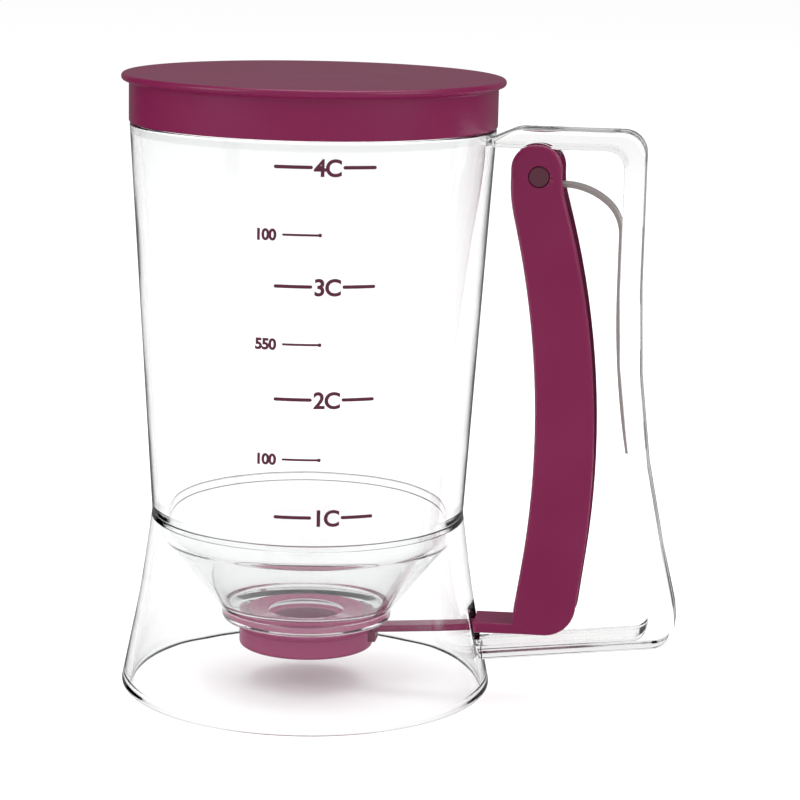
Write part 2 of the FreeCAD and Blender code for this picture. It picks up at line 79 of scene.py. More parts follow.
class Joint(Enum):
    """What is done with a second solid."""

    CUT = "DIFFERENCE"
    FUSE = "UNION"


@dataclass(frozen=True)
class Corner:
    """One corner of an outline, in millimetres, and the radius that rounds it."""

    across: float
    up: float
    rounding: float = 0.0

    @property
    def point(self) -> Vector:
        """The corner's place in the XZ plane, in millimetres."""
        return Vector((self.across, 0.0, self.up))


def rounded_points(corners: list[Corner]) -> list[Vector]:
    """Walks round a closed outline and turns each rounded corner into a tangent arc.

    Args:
        corners: the outline's corners in order.

    Returns:
        The points of the outline in the XZ plane, in metres.
    """
    points = []
    for index, corner in enumerate(corners):
        here = corner.point
        if corner.rounding == 0:
            points.append(here * MM)
            continue
        before = (corners[index - 1].point - here).normalized()
        after = (corners[(index + 1) % len(corners)].point - here).normalized()
        half = before.angle(after) / 2
        centre = here + (before + after).normalized() * (corner.rounding / math.sin(half))
        start = here + before * (corner.rounding / math.tan(half)) - centre
        end = here + after * (corner.rounding / math.tan(half)) - centre
        sweep = start.angle(end)
        steps = max(2, math.ceil(math.degrees(sweep) / ARC_STEP_DEGREES))
        for step in range(steps + 1):
            share = step / steps
            spoke = start * math.sin((1 - share) * sweep) + end * math.sin(share * sweep)
            points.append((centre + spoke / math.sin(sweep)) * MM)
    return points


class Workshop:
    """Makes, cuts and finishes meshes with bmesh operators."""

    @staticmethod
    def object_from(name: str, shape: bmesh.types.BMesh) -> bpy.types.Object:
        """Turns a bmesh into a linked object and frees it.

        Args:
            name: the piece's name.
            shape: the finished bmesh.

        Returns:
            The new object at the origin.
        """
        mesh = bpy.data.meshes.new(name)
        shape.to_mesh(mesh)
        shape.free()
        made = bpy.data.objects.new(name, mesh)
        bpy.context.scene.collection.objects.link(made)
        return made

    @classmethod
    def turned(cls, name: str, corners: list[Corner]) -> bpy.types.Object:
        """Spins an outline about the Z axis into a closed solid.

        Args:
            name: the piece's name.
            corners: the outline, whose "across" is the radius. A run along the axis is left open.

        Returns:
            The turned piece.
        """
        shape = bmesh.new()
        ring = [shape.verts.new(point) for point in rounded_points(corners)]
        edges = []
        for index, vertex in enumerate(ring):
            other = ring[index - 1]
            if vertex.co.x > MERGE or other.co.x > MERGE:
                edges.append(shape.edges.new((other, vertex)))
        bmesh.ops.spin(
            shape, geom=ring + edges, cent=(0, 0, 0), axis=(0, 0, 1), dvec=(0, 0, 0),
            angle=math.tau, steps=LATHE_STEPS, use_merge=True, use_duplicate=False,
        )
        bmesh.ops.remove_doubles(shape, verts=shape.verts, dist=MERGE)
        bmesh.ops.recalc_face_normals(shape, faces=shape.faces)
        return cls.object_from(name, shape)

    @classmethod
    def plate(cls, name: str, corners: list[Corner], start: float, end: float) -> bpy.types.Object:
        """Extrudes an outline along Y.

        Args:
            name: the piece's name.
            corners: the outline.
            start: the Y of the near side, in millimetres.
            end: the Y of the far side.

        Returns:
            The solid plate.
        """
        shape = bmesh.new()
        ring = [shape.verts.new(point) for point in rounded_points(corners)]
        face = shape.faces.new(ring)
        bmesh.ops.translate(shape, verts=ring, vec=(0, start * MM, 0))
        raised = bmesh.ops.extrude_face_region(shape, geom=[face])["geom"]
        lifted = [item for item in raised if isinstance(item, bmesh.types.BMVert)]
        bmesh.ops.translate(shape, verts=lifted, vec=(0, (end - start) * MM, 0))
        bmesh.ops.recalc_face_normals(shape, faces=shape.faces)
        return cls.object_from(name, shape)

    @classmethod
    def bar_along(cls, name: str, run: tuple, under: tuple, top: tuple, half: float) -> bpy.types.Object:
        """Extrudes a straight bar along X that may rise or thin on its way.

        Args:
            name: the bar's name.
            run: the X of its two ends, in millimetres.
            under: the Z of its underside at each end.
            top: the Z of its top at each end.
            half: half its width in Y.

        Returns:
            The bar.
        """
        start, end = run
        return cls.plate(name, [
            Corner(start, under[0]), Corner(end, under[1]), Corner(end, top[1]), Corner(start, top[0]),
        ], -half, half)

    @staticmethod
    def round_sides(piece: bpy.types.Object, radius: float) -> None:
        """Rounds the outline's edges on both sides of a plate.

        Args:
            piece: the plate.
            radius: the rounding, in millimetres.
        """
        shape = bmesh.new()
        shape.from_mesh(piece.data)
        bmesh.ops.remove_doubles(shape, verts=shape.verts, dist=MERGE)
        places = [vertex.co.y for vertex in shape.verts]
        sides = (max(places), min(places))
        rims = []
        for edge in shape.edges:
            ends = [vertex.co.y for vertex in edge.verts]
            on_side = any(all(abs(end - side) < MERGE for end in ends) for side in sides)
            if on_side and edge.calc_face_angle(0.0) > RIM_ANGLE_RADIANS:
                rims.append(edge)
        bmesh.ops.bevel(
            shape, geom=rims, offset=radius * MM, offset_type="OFFSET", segments=SIDE_ROUND_STEPS,
            profile=0.5, affect="EDGES", material=-1,
        )
        shape.to_mesh(piece.data)
        shape.free()

    @classmethod
    def bar_across(
        cls, name: str, radius: float, across: float, up: float, start: float, end: float,
    ) -> bpy.types.Object:
        """A round bar along Y.

        Args:
            name: the bar's name.
            radius: its radius, in millimetres.
            across: the X of its axis.
            up: the Z of its axis.
            start: the Y of its near end.
            end: the Y of its far end.

        Returns:
            The bar.
        """
        shape = bmesh.new()
        middle = Vector((across, (start + end) / 2, up)) * MM
        place = Matrix.Translation(middle) @ Matrix.Rotation(math.pi / 2, 4, "X")
        bmesh.ops.create_cone(
            shape, cap_ends=True, segments=BAR_STEPS, radius1=radius * MM, radius2=radius * MM,
            depth=(end - start) * MM, matrix=place,
        )
        return cls.object_from(name, shape)

    @classmethod
    def polished_copy(
        cls, name: str, node: str, narrowing: float = 1.0, swelling: float = 0.0, rise: float = 0.0,
    ) -> bpy.types.Object:
        """Copies a CAD node's mesh and welds its loose triangles, so that its curves shade smoothly.

        Args:
            name: the new piece's name.
            node: the CAD node that the piece stands for.
            narrowing: the share of its width in Y that it keeps.
            swelling: how far each face moves outwards, in millimetres.
            rise: how far the piece is lifted, in millimetres.

        Returns:
            The welded copy.
        """
        shape = bmesh.new()
        shape.from_mesh(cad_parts[node].data)
        bmesh.ops.remove_doubles(shape, verts=shape.verts, dist=MERGE)
        bmesh.ops.dissolve_degenerate(shape, edges=shape.edges, dist=MERGE)
        bmesh.ops.scale(shape, vec=(1, narrowing, 1), verts=shape.verts)
        shape.normal_update()
        for vertex in shape.verts:
            vertex.co += vertex.normal * (swelling * MM)
        bmesh.ops.translate(shape, vec=(0, 0, rise * MM), verts=shape.verts)
        return cls.object_from(name, shape)

    @staticmethod
    def settle(piece: bpy.types.Object) -> None:
        """Bakes a piece's modifiers into its mesh.

        Args:
            piece: the piece.
        """
        seen = bpy.context.evaluated_depsgraph_get()
        baked = bpy.data.meshes.new_from_object(piece.evaluated_get(seen))
        piece.modifiers.clear()
        piece.data = baked

    @classmethod
    def combine(cls, piece: bpy.types.Object, other: bpy.types.Object, joint: Joint) -> None:
        """Cuts or fuses another solid into a piece and throws the other away.

        Args:
            piece: the piece that is kept.
            other: the cutter, or the solid that is added.
            joint: what is done with the other solid.
        """
        step = piece.modifiers.new("combine", "BOOLEAN")
        step.operation = joint.value
        step.solver = "EXACT"
        step.object = other
        cls.settle(piece)
        bpy.data.objects.remove(other)

    @staticmethod
    def smooth(piece: bpy.types.Object) -> None:
        """Shades curves smooth and keeps true edges sharp, with flat faces left flat.

        Args:
            piece: the piece.
        """
        mesh = piece.data
        mesh.polygons.foreach_set("use_smooth", [True] * len(mesh.polygons))
        mesh.set_sharp_from_angle(angle=math.radians(SHARP_DEGREES))
        weighting = piece.modifiers.new("flat faces stay flat", "WEIGHTED_NORMAL")
        weighting.keep_sharp = True

    @classmethod
    def finish(cls, piece: bpy.types.Object, body: Body, slot: Slot, finish: "Finish", *nodes: str) -> None:
        """Gives a piece its shading and finish, sets it on its body and hides what it replaces.

        Args:
            piece: the piece.
            body: the body it moves with.
            slot: the record's material slot; not used.
            finish: the finish that it is dressed in.
            nodes: the CAD nodes that it stands for.
        """
        cls.smooth(piece)
        piece.data.materials.clear()
        piece.data.materials.append(finish.material())
        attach(piece, body.value)
        if nodes:
            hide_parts(*nodes)
        if isinstance(finish, ClearPlastic):
            piece.visible_shadow = False
            piece.visible_diffuse = False
        log.info("%s rides on %s, %d faces", piece.name, body.value, len(piece.data.polygons))


class Wire:
    """A shader socket that Python arithmetic can be done on."""

    def __init__(self, tree: "FinishTree", socket: bpy.types.NodeSocket) -> None:
        """Keeps the tree that new nodes go to, and the socket that is wrapped."""
        self.tree = tree
        self.socket = socket

    def _with(self, operation: str, first: "Wire | float", second: "Wire | float") -> "Wire":
        """Adds one Math node.

        Args:
            operation: the node's operation.
            first: the first value.
            second: the second value.

        Returns:
            The node's result.
        """
        return self.tree.node("ShaderNodeMath", {"operation": operation}, {0: first, 1: second})

    def __add__(self, other: "Wire | float") -> "Wire":
        """This value plus another."""
        return self._with("ADD", self, other)

    __radd__ = __add__

    def __mul__(self, other: "Wire | float") -> "Wire":
        """This value times another."""
        return self._with("MULTIPLY", self, other)

    __rmul__ = __mul__

    def __sub__(self, other: "Wire | float") -> "Wire":
        """This value less another."""
        return self._with("SUBTRACT", self, other)

    def __rsub__(self, other: "Wire | float") -> "Wire":
        """Another value less this one."""
        return self._with("SUBTRACT", other, self)


class FinishTree:
    """A material's node tree, with one method that adds any node."""

    FIRST_COLOUR = 6
    SECOND_COLOUR = 7
    MIXED_COLOUR = 2

    def __init__(self, name: str) -> None:
        """Starts an empty material.

        Args:
            name: the material's name.
        """
        self.material = bpy.data.materials.new(name)
        self.material.use_nodes = True
        self.nodes = self.material.node_tree.nodes
        self.links = self.material.node_tree.links
        self.nodes.clear()

    def node(self, kind: str, settings: dict, inputs: dict, output: int | str = 0) -> Wire | None:
        """Adds a node, sets its settings first and then fills its sockets.

        Args:
            kind: the node's type.
            settings: attributes of the node.
            inputs: values or wires for the node's sockets.
            output: which output to hand back.

        Returns:
            The wanted output as a wire, or nothing where the node has no outputs.
        """
        added = self.nodes.new(kind)
        for name, value in settings.items():
            setattr(added, name, value)
        for name, value in inputs.items():
            if isinstance(value, Wire):
                self.links.new(value.socket, added.inputs[name])
            else:
                added.inputs[name].default_value = value
        return Wire(self, added.outputs[output]) if added.outputs else None

    def noise(self, scale: float, detail: float = 3.0) -> Wire:
        """Noise over the piece's own place, as a value from 0 to 1.

        Args:
            scale: how many features there are to a metre.
            detail: how many finer layers there are.

        Returns:
            The noise value.
        """
        place = self.node("ShaderNodeTexCoord", {}, {}, "Object")
        return self.node("ShaderNodeTexNoise", {}, {"Vector": place, "Scale": scale, "Detail": detail}, 0)

    def blend(self, share: Wire, first: tuple, second: tuple) -> Wire:
        """Mixes two colours.

        Args:
            share: how much of the second colour there is, from 0 to 1.
            first: the first colour.
            second: the second colour.

        Returns:
            The mixed colour.
        """
        inputs = {"Factor": share, self.FIRST_COLOUR: first, self.SECOND_COLOUR: second}
        return self.node("ShaderNodeMix", {"data_type": "RGBA"}, inputs, self.MIXED_COLOUR)

    def bump(self, height: Wire, distance: float, strength: float = 1.0) -> Wire:
        """Turns a height into a normal.

        Args:
            height: the height, from 0 to 1.
            distance: the height of the bump in metres.
            strength: how much of the bump shows.

        Returns:
            The bent normal.
        """
        return self.node("ShaderNodeBump", {}, {"Height": height, "Strength": strength, "Distance": distance})

    def surface(self, inputs: dict) -> bpy.types.Material:
        """Ends the tree with a Principled shader.

        Args:
            inputs: values or wires for the shader's sockets.

        Returns:
            The finished material.
        """
        shader = self.node("ShaderNodeBsdfPrincipled", {}, inputs, "BSDF")
        self.node("ShaderNodeOutputMaterial", {}, {"Surface": shader})
        return self.material


@dataclass(frozen=True)
class Finish:
    """What a finish is called; each kind of finish adds its own sizes and colours."""

    name: str

    def material(self) -> bpy.types.Material:
        """The finish's material, made once and then reused."""
        return bpy.data.materials.get(self.name) or self.mix()

    def mix(self) -> bpy.types.Material:
        """Makes the material."""
        raise NotImplementedError


@dataclass(frozen=True)
class ClearPlastic(Finish):
    """Clear moulded plastic: polished, with the faint ripple of a mould."""

    tint: tuple = (0.93, 0.935, 0.935, 1.0)
    refraction: float = 1.49
    polish: float = 0.012
    smears: float = 0.02
    smear_scale: float = 90.0
    ripple_scale: float = 42.0
    ripple_detail: float = 1.0
    ripple_height: float = 0.00006

    def mix(self) -> bpy.types.Material:
        """Mixes the clear plastic.

        Returns:
            The material.
        """
        tree = FinishTree(self.name)
        ripple = tree.noise(self.ripple_scale, self.ripple_detail)
        return tree.surface({
            "Base Color": self.tint,
            "Roughness": tree.noise(self.smear_scale) * self.smears + self.polish,
            "IOR": self.refraction,
            "Transmission Weight": 1.0,
            "Normal": tree.bump(ripple, self.ripple_height),
        })


@dataclass(frozen=True)
class BerryPlastic(Finish):
    """Opaque moulded plastic with a soft gloss."""

    deep: tuple = (0.150, 0.0060, 0.049, 1.0)
    bright: tuple = (0.180, 0.0085, 0.060, 1.0)
    gloss: float = 0.26
    gloss_change: float = 0.10
    cloud_scale: float = 35.0
    grain_scale: float = 2600.0
    grain_detail: float = 2.0
    grain_height: float = 0.000012
    grain_strength: float = 0.6

    def mix(self) -> bpy.types.Material:
        """Mixes the coloured plastic.

        Returns:
            The material.
        """
        tree = FinishTree(self.name)
        cloud = tree.noise(self.cloud_scale)
        grain = tree.noise(self.grain_scale, self.grain_detail)
        return tree.surface({
            "Base Color": tree.blend(cloud, self.deep, self.bright),
            "Roughness": cloud * self.gloss_change + self.gloss,
            "Normal": tree.bump(grain, self.grain_height, self.grain_strength),
        })


@dataclass(frozen=True)
class SealRubberWithPaintedShade(Finish):
    """Berry silicone with painted shade: the plug that faces the outlet is coloured darker than the disc
    round it, for the shade in the outlet.
    """

    disc: tuple = (0.330, 0.052, 0.145, 1.0)
    # plug colour: painted shade, darker than the disc, where the plug sits in the outlet's shadow
    plug: tuple = (0.120, 0.010, 0.050, 1.0)
    painted_shade_up: float = 21.0
    blend: float = 0.15
    roughness: float = 0.42
    roughness_change: float = 0.10
    cloud_scale: float = 35.0

    def mix(self) -> bpy.types.Material:
        """Mixes the silicone and paints the plug's shade, a darker colour above a set height.

        Returns:
            The material.
        """
        tree = FinishTree(self.name)
        # painted shade: just above the plug's height the colour turns from the disc's to the plug's darker
        # colour
        place = tree.node("ShaderNodeTexCoord", {}, {}, "Object")
        up = tree.node("ShaderNodeSeparateXYZ", {}, {0: place}, "Z")
        painted_shade_ramp = (up - (self.painted_shade_up * MM)) * (1 / (self.blend * MM))
        share = tree.node("ShaderNodeClamp", {}, {0: painted_shade_ramp}, 0)
        return tree.surface({
            "Base Color": tree.blend(share, self.disc, self.plug),
            "Roughness": tree.noise(self.cloud_scale) * self.roughness_change + self.roughness,
        })


@dataclass(frozen=True)
class Steel(Finish):
    """Bright steel, drawn or turned."""

    tone: tuple = (0.62, 0.62, 0.63, 1.0)
    polish: float = 0.16
    drawn_lines: float = 0.12
    bareness: float = 1.0
    line_scale: float = 900.0
    line_detail: float = 2.0

    def mix(self) -> bpy.types.Material:
        """Mixes the steel.

        Returns:
            The material.
        """
        tree = FinishTree(self.name)
        lines = tree.noise(self.line_scale, self.line_detail)
        return tree.surface({
            "Base Color": self.tone,
            "Metallic": self.bareness,
            "Roughness": lines * self.drawn_lines + self.polish,
        })


@dataclass(frozen=True)
class PrintedInk(Finish):
    """The dark ink of the printed scale."""

    colour: tuple = (0.095, 0.006, 0.034, 1.0)
    roughness: float = 0.45
    speckle: float = 0.15
    speckle_scale: float = 1500.0

    def mix(self) -> bpy.types.Material:
        """Mixes the ink.

        Returns:
            The material.
        """
        tree = FinishTree(self.name)
        return tree.surface({
            "Base Color": self.colour,
            "Roughness": tree.noise(self.speckle_scale) * self.speckle + self.roughness,
        })


@dataclass(frozen=True)
class FloorPaint(Finish):
    """Matt pale floor."""

    colour: tuple = (0.955, 0.955, 0.955, 1.0)
    roughness: float = 0.85
    shine: float = 0.0

    def mix(self) -> bpy.types.Material:
        """Mixes the floor's paint.

        Returns:
            The material.
        """
        tree = FinishTree(self.name)
        return tree.surface({
            "Base Color": self.colour,
            "Roughness": self.roughness,
            "Specular IOR Level": self.shine,
        })


CLEAR = ClearPlastic("clear plastic")
# A greyer copy of the clear plastic for the handle: painted shade, for the grey look of the strip's faces.
HANDLE_CLEAR_PAINTED_SHADE = ClearPlastic("handle clear plastic greyed as painted shade", tint=(0.87, 0.875, 0.87, 1.0))
BERRY = BerryPlastic("berry plastic")
# A lighter, pinker copy of the berry plastic for the cup: painted reflection, the veil of light from the
# stand's wall that the cup is seen through.
CUP_BERRY_PAINTED_VEIL = BerryPlastic(
    "cup berry plastic with painted veil", deep=(0.235, 0.022, 0.092, 1.0), bright=(0.265, 0.027, 0.105, 1.0), gloss=0.30,
)
SILICONE = SealRubberWithPaintedShade("berry silicone with painted plug shade")
# Dark berry-tinted steel for the pin, its retainer and the cup screw: painted reflection of the berry plastic
# round them.
PIN_STEEL_PAINTED_REFLECTION = Steel("steel with painted berry reflection", tone=(0.12, 0.035, 0.055, 1.0), polish=0.34, bareness=0.3)
STRIP_STEEL = Steel(
    "spring strip", tone=(0.27, 0.235, 0.23, 1.0), polish=0.26, drawn_lines=0.10, bareness=0.25,
)
INK = PrintedInk("scale ink")
FLOOR = FloorPaint("floor paint")


@dataclass
class Vessel:
    """The clear jar, the funnel under it and the flared stand round the funnel."""

    rim_up: float = 183.8
    shoulder_up: float = 171.4
    seam_up: float = 54.5
    shoulder_radius: float = 54.3
    seam_radius: float = 47.3
    wall: float = 2.8
    neck_radius: float = 53.0
    mouth_radius: float = 51.4
    rim_round: float = 0.6
    crisp_round: float = 0.3
    mouth_ease: float = 6.0
    seam_round: float = 0.25
    seam_air: float = 0.12
    land: float = 1.0
    collar: float = 2.2
    funnel_wall: float = 2.2
    collar_inner: float = 42.1
    collar_draft: float = 0.3
    notch_round: float = 0.2
    knee_round: float = 4.8
    funnel_shoulder_radius: float = 44.4
    funnel_shoulder_up: float = 47.6
    funnel_shoulder_round: float = 7.0
    foot_radius: float = 25.9
    foot_up: float = 20.8
    foot_band: float = 3.4
    foot_round: float = 1.1
    band_round: float = 1.0
    outlet_radius: float = 11.5
    outlet_lip_up: float = 23.9
    floor_up: float = 26.1
    floor_round: float = 6.0
    rebate_gap: float = 0.15
    stand_wall: float = 2.2
    stand_foot_radius: float = 56.7
    stand_foot_width: float = 3.1
    stand_foot_height: float = 3.0
    stand_foot_round: float = 1.4
    stand_foot_inner_round: float = 0.5
    stand_foot_ease: float = 4.0
    flare_radius: float = 50.6
    flare_up: float = 30.0
    flare_round: float = 250.0
    window_size: tuple = (11.0, 12.6)
    window_up: float = 14.6
    window_round: float = 1.5
    window_round_steps: int = 6
    window_cutter_length: float = 40.0
    envelope_margin: float = 1.0

    def outer_radius(self, up: float) -> float:
        """The radius of the jar's tapered outside at a height, both in millimetres."""
        share = (up - self.seam_up) / (self.shoulder_up - self.seam_up)
        return self.seam_radius + share * (self.shoulder_radius - self.seam_radius)

    @property
    def jar_inner_radius(self) -> float:
        """The jar's inside radius at the seam."""
        return self.seam_radius - self.wall

    def make_jar(self) -> bpy.types.Object:
        """Turns the jar and its funnel in one: neck, tapered wall, collar, cone, outlet and banded foot.

        Returns:
            The clear piece.
        """
        run = self.funnel_shoulder_up - self.foot_up - self.foot_band
        slope = (self.funnel_shoulder_radius - self.foot_radius) / run
        inner_shoulder = self.funnel_shoulder_radius - self.funnel_wall * math.hypot(1.0, slope)
        floor_corner = inner_shoulder - (self.funnel_shoulder_up - self.floor_up) * slope
        knee_up = self.funnel_shoulder_up + (self.collar_inner - inner_shoulder) / slope
        top_radius = self.jar_inner_radius + self.land
        collar_up = self.seam_up - self.collar
        return Workshop.turned("jar_and_funnel", [
            Corner(self.seam_radius, self.seam_up, self.seam_round),
            Corner(self.shoulder_radius, self.shoulder_up, self.rim_round),
            Corner(self.neck_radius, self.shoulder_up, self.crisp_round),
            Corner(self.neck_radius, self.rim_up, self.rim_round),
            Corner(self.mouth_radius, self.rim_up, self.rim_round),
            Corner(self.mouth_radius, self.shoulder_up - self.wall, self.mouth_ease),
            Corner(self.collar_inner, knee_up, self.knee_round),
            Corner(floor_corner, self.floor_up, self.floor_round),
            Corner(self.outlet_radius, self.outlet_lip_up, self.rim_round),
            Corner(self.outlet_radius, self.foot_up, self.crisp_round),
            Corner(self.foot_radius, self.foot_up, self.foot_round),
            Corner(self.foot_radius, self.foot_up + self.foot_band, self.band_round),
            Corner(self.funnel_shoulder_radius, self.funnel_shoulder_up, self.funnel_shoulder_round),
            Corner(self.funnel_shoulder_radius + self.collar_draft, collar_up, self.notch_round),
            Corner(top_radius, collar_up, self.notch_round),
            Corner(top_radius, self.seam_up),
        ])

    def make_stand(self) -> bpy.types.Object:
        """Turns the flared stand and cuts the window for the valve arm.

        Returns:
            The clear piece.
        """
        rebate = self.jar_inner_radius + self.land + self.rebate_gap
        ledge_up = self.seam_up - self.collar
        foot_inner = self.stand_foot_radius - self.stand_foot_width
        top_up = self.seam_up - self.seam_air
        stand = Workshop.turned("stand_wall", [
            Corner(rebate, top_up),
            Corner(self.seam_radius, top_up, self.seam_round),
            Corner(self.flare_radius, self.flare_up, self.flare_round),
            Corner(self.stand_foot_radius, 0.0, self.stand_foot_round),
            Corner(foot_inner, 0.0, self.stand_foot_inner_round),
            Corner(foot_inner, self.stand_foot_height, self.stand_foot_ease),
            Corner(self.flare_radius - self.stand_wall, self.flare_up, self.flare_round),
            Corner(self.seam_radius - self.stand_wall, ledge_up),
            Corner(rebate, ledge_up),
        ])
        Workshop.combine(stand, self._window_cutter(), Joint.CUT)
        return stand

    def _window_cutter(self) -> bpy.types.Object:
        """A round-cornered bar along X, as wide and high as the window.

        Returns:
            The bar to cut with.
        """
        width, height = self.window_size
        shape = bmesh.new()
        bmesh.ops.create_cube(shape, size=1.0)
        along = [edge for edge in shape.edges if abs(edge.verts[0].co.x - edge.verts[1].co.x) > MERGE]
        size = Vector((self.window_cutter_length, width, height)) * MM
        bmesh.ops.scale(shape, vec=size, verts=shape.verts)
        bmesh.ops.bevel(
            shape, geom=along, offset=self.window_round * MM, offset_type="OFFSET",
            segments=self.window_round_steps, profile=0.5, affect="EDGES", material=-1,
        )
        centre = (self.seam_radius * MM, 0, (self.window_up + height / 2) * MM)
        bmesh.ops.translate(shape, verts=shape.verts, vec=centre)
        return Workshop.object_from("window_cutter", shape)

    def envelope(self, gap: float) -> bpy.types.Object:
        """The space inside the outside faces of the jar and the stand.

        Args:
            gap: how much larger the space is all round, in millimetres.

        Returns:
            The space as a solid to cut with.
        """
        top_up = self.shoulder_up + self.envelope_margin
        return Workshop.turned("vessel_envelope", [
            Corner(0.0, -self.envelope_margin),
            Corner(self.stand_foot_radius + gap, -self.envelope_margin),
            Corner(self.stand_foot_radius + gap, 0.0),
            Corner(self.flare_radius + gap, self.flare_up, self.flare_round),
            Corner(self.seam_radius + gap, self.seam_up),
            Corner(self.outer_radius(top_up) + gap, top_up),
            Corner(0.0, top_up),
        ])

    def build(self) -> None:
        """Makes and dresses the clear pieces of the vessel."""
        Workshop.finish(self.make_jar(), Body.VESSEL, Slot.CLEAR, CLEAR, "measuring_jar", "funnel")
        Workshop.finish(self.make_stand(), Body.VESSEL, Slot.CLEAR, CLEAR, "flared_stand")


class MarkKind(Enum):
    """The two sizes of mark on the printed scale."""

    CUP = "cup"
    HALF = "half"


@dataclass(frozen=True)
class Mark:
    """One line of the printed scale."""

    kind: MarkKind
    words: str
    up: float


@dataclass
class PrintedScale:
    """The measuring scale printed on the outside of the jar."""

    vessel: Vessel
    azimuth_degrees: float = -75.5
    film: float = 0.06
    cup_height: float = 4.9
    cup_dash: float = 1.0
    cup_dash_runs: tuple = ((-14.7, -4.8), (4.7, 13.3))
    half_height: float = 3.2
    half_dash: float = 0.65
    half_dash_run: tuple = (-12.5, -2.2)
    half_words_middle: float = -17.6
    dot_radius: float = 0.55
    dash_steps: int = 12
    dot_steps: int = 20
    letter_steps: int = 6
    capital_share: float = 0.73
    longest_straight: float = 1.2
    bend_cuts: int = 4
    boldness: float = 0.19
    spacing: float = 0.92
    slant: float = 0.0148
    marks: tuple = (
        Mark(MarkKind.CUP, "4C", 164.5),
        Mark(MarkKind.HALF, "100", 145.4),
        Mark(MarkKind.CUP, "3C", 130.7),
        Mark(MarkKind.HALF, "550", 114.0),
        Mark(MarkKind.CUP, "2C", 98.0),
        Mark(MarkKind.HALF, "100", 80.3),
        Mark(MarkKind.CUP, "1C", 63.1),
    )

    def _lettering(self, words: str, height: float, middle: float) -> bmesh.types.BMesh:
        """Lays out words flat: X runs along the print and Y is up.

        Args:
            words: what it says.
            height: the height of a capital letter, in millimetres.
            middle: where the middle of the words goes along the print.

        Returns:
            The flat letters in millimetres.
        """
        curve = bpy.data.curves.new("lettering", "FONT")
        curve.body = words
        curve.align_x = "CENTER"
        curve.resolution_u = self.letter_steps
        curve.offset = self.boldness
        curve.space_character = self.spacing
        curve.size = height / self.capital_share
        text = bpy.data.objects.new("lettering", curve)
        bpy.context.scene.collection.objects.link(text)
        bpy.context.view_layer.update()
        seen = bpy.context.evaluated_depsgraph_get()
        mesh = bpy.data.meshes.new_from_object(text.evaluated_get(seen))
        bpy.data.objects.remove(text)
        flat = bmesh.new()
        flat.from_mesh(mesh)
        bpy.data.meshes.remove(mesh)
        bmesh.ops.translate(flat, verts=flat.verts, vec=(middle, -height / 2, 0))
        return flat

    def _dash(self, start: float, end: float, thickness: float, blob: float) -> bmesh.types.BMesh:
        """A flat round-ended dash, with a blob at its right end where one is printed.

        Args:
            start: where it begins along the print.
            end: where it ends.
            thickness: how thick the line is.
            blob: the radius of the blob, or 0 for none.

        Returns:
            The flat dash in millimetres.
        """
        flat = bmesh.new()
        bmesh.ops.create_grid(flat, x_segments=self.dash_steps, y_segments=1, size=0.5)
        bmesh.ops.scale(flat, vec=(end - start, thickness, 1), verts=flat.verts)
        bmesh.ops.translate(flat, vec=((start + end) / 2, 0, 0), verts=flat.verts)
        ends = [(start, thickness / 2), (end, max(thickness / 2, blob))]
        for place, radius in ends:
            bmesh.ops.create_circle(
                flat, cap_ends=True, segments=self.dot_steps, radius=radius,
                matrix=Matrix.Translation((place, 0, 0)),
            )
        return flat

    def _wrap(self, flat: bmesh.types.BMesh, up: float) -> None:
        """Bends flat print onto the jar's tapered outside and gives it the ink's thickness.

        Args:
            flat: the flat print, in millimetres.
            up: the height of its middle line.
        """
        bmesh.ops.triangulate(flat, faces=flat.faces)
        long_edges = [edge for edge in flat.edges if edge.calc_length() > self.longest_straight]
        bmesh.ops.subdivide_edges(flat, edges=long_edges, cuts=self.bend_cuts)
        drift = self.slant * (self.marks[0].up - up)
        for vertex in flat.verts:
            height = up + vertex.co.y
            radius = self.vessel.outer_radius(height) + self.film
            angle = math.radians(self.azimuth_degrees) + (vertex.co.x + drift) / radius
            vertex.co = Vector((radius * math.cos(angle), radius * math.sin(angle), height)) * MM

    def build(self) -> None:
        """Prints every mark as one film of ink on the jar."""
        film = bmesh.new()
        for mark in self.marks:
            if mark.kind is MarkKind.CUP:
                flats = [self._lettering(mark.words, self.cup_height, 0.0)]
                flats += [self._dash(start, end, self.cup_dash, 0.0) for start, end in self.cup_dash_runs]
            else:
                flats = [self._lettering(mark.words, self.half_height, self.half_words_middle)]
                flats.append(self._dash(*self.half_dash_run, self.half_dash, self.dot_radius))
            for flat in flats:
                self._wrap(flat, mark.up)
                part = bpy.data.meshes.new("mark")
                flat.to_mesh(part)
                flat.free()
                film.from_mesh(part)
                bpy.data.meshes.remove(part)
        piece = Workshop.object_from("scale_print", film)
        Workshop.finish(piece, Body.VESSEL, Slot.BERRY, INK)


@dataclass
class Lid:
    """The push-on lid: a plate with a rounded rim, a skirt and a plug ring."""

    top_up: float = 186.0
    plate: float = 2.2
    flange_radius: float = 56.8
    rim_round: float = 1.05
    under_rim_round: float = 0.9
    ceiling_round: float = 1.0
    lip_round: float = 0.5
    skirt_inner: float = 53.3
    skirt_outer: float = 54.55
    skirt_foot_up: float = 171.7
    plug_outer: float = 51.1
    plug_inner: float = 49.7
    plug_depth: float = 6.0

    def build(self) -> None:
        """Turns the lid and sets it on its own body."""
        under = self.top_up - self.plate
        lid = Workshop.turned("lid_moulding", [
            Corner(0.0, under),
            Corner(self.plug_inner, under, self.ceiling_round),
            Corner(self.plug_inner, under - self.plug_depth, self.lip_round),
            Corner(self.plug_outer, under - self.plug_depth, self.lip_round),
            Corner(self.plug_outer, under),
            Corner(self.skirt_inner, under),
            Corner(self.skirt_inner, self.skirt_foot_up, self.lip_round),
            Corner(self.skirt_outer, self.skirt_foot_up, self.lip_round),
            Corner(self.skirt_outer, under, self.under_rim_round),
            Corner(self.flange_radius, under, self.rim_round),
            Corner(self.flange_radius, self.top_up, self.rim_round),
            Corner(0.0, self.top_up),
        ])
        Workshop.finish(lid, Body.LID, Slot.BERRY, BERRY, "lid")


